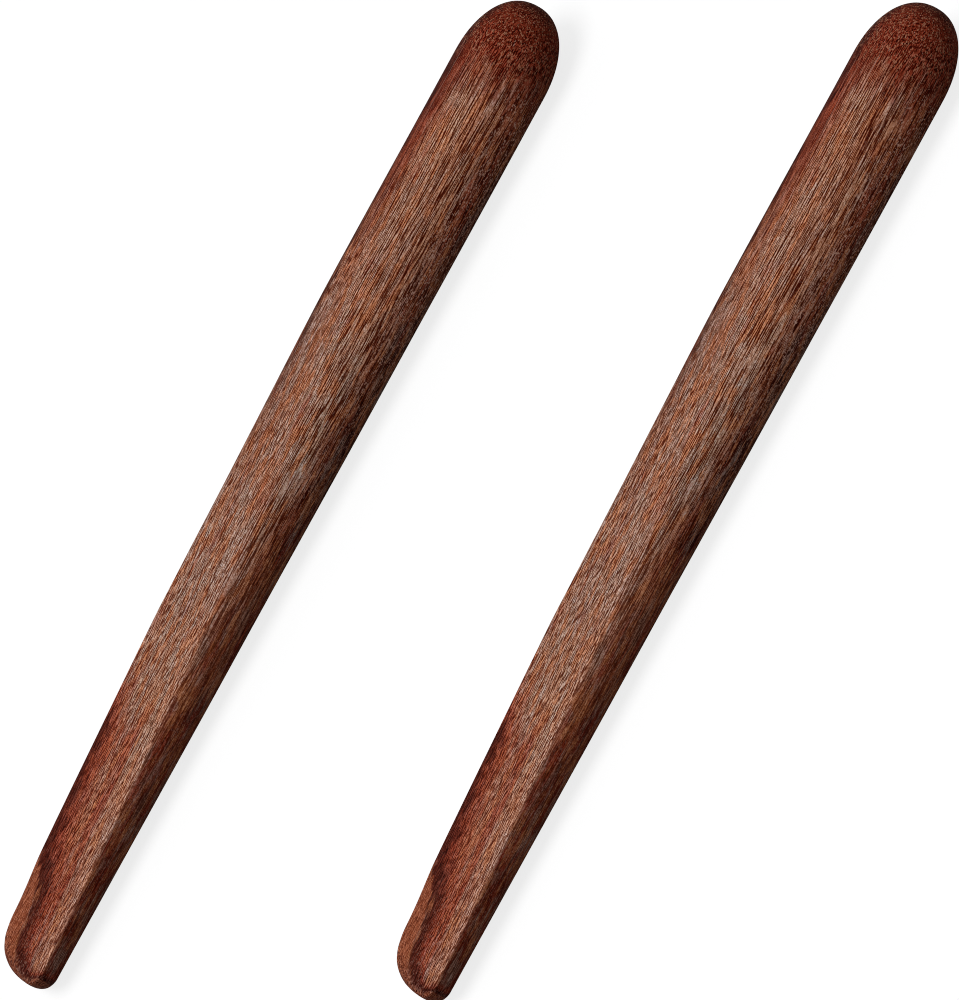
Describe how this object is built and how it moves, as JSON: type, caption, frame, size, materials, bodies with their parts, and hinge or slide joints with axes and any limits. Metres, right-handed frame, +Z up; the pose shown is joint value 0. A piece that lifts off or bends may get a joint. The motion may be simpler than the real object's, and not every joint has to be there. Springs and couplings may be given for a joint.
{
  "type": "claves",
  "caption": "Round hardwood percussion sticks, struck together: each has a domed butt and a long flat cut that thins it to a rounded tip.",
  "frame": {"origin": "middle of the pair on the table, at the centre of the bottom of its box", "axes": "+X along both sticks towards their domed butts, the tips towards -X; +Y from the striking stick to the held one; +Z up, out of the cut faces"},
  "size_m": [0.28, 0.154, 0.0222],
  "materials": {
    "hardwood": "reddish brown open-pored hardwood, hand sanded, thin satin oil"
  },
  "bodies": {
    "held": {"held_clave": "hardwood"},
    "striker": {"striking_clave": "hardwood"}
  },
  "joints": [
    {"name": "strike_stroke", "type": "slide", "parent": "held", "child": "striker", "axis": [0, 1, 0], "range_m": [-0.1, 0.1095]}
  ]
}
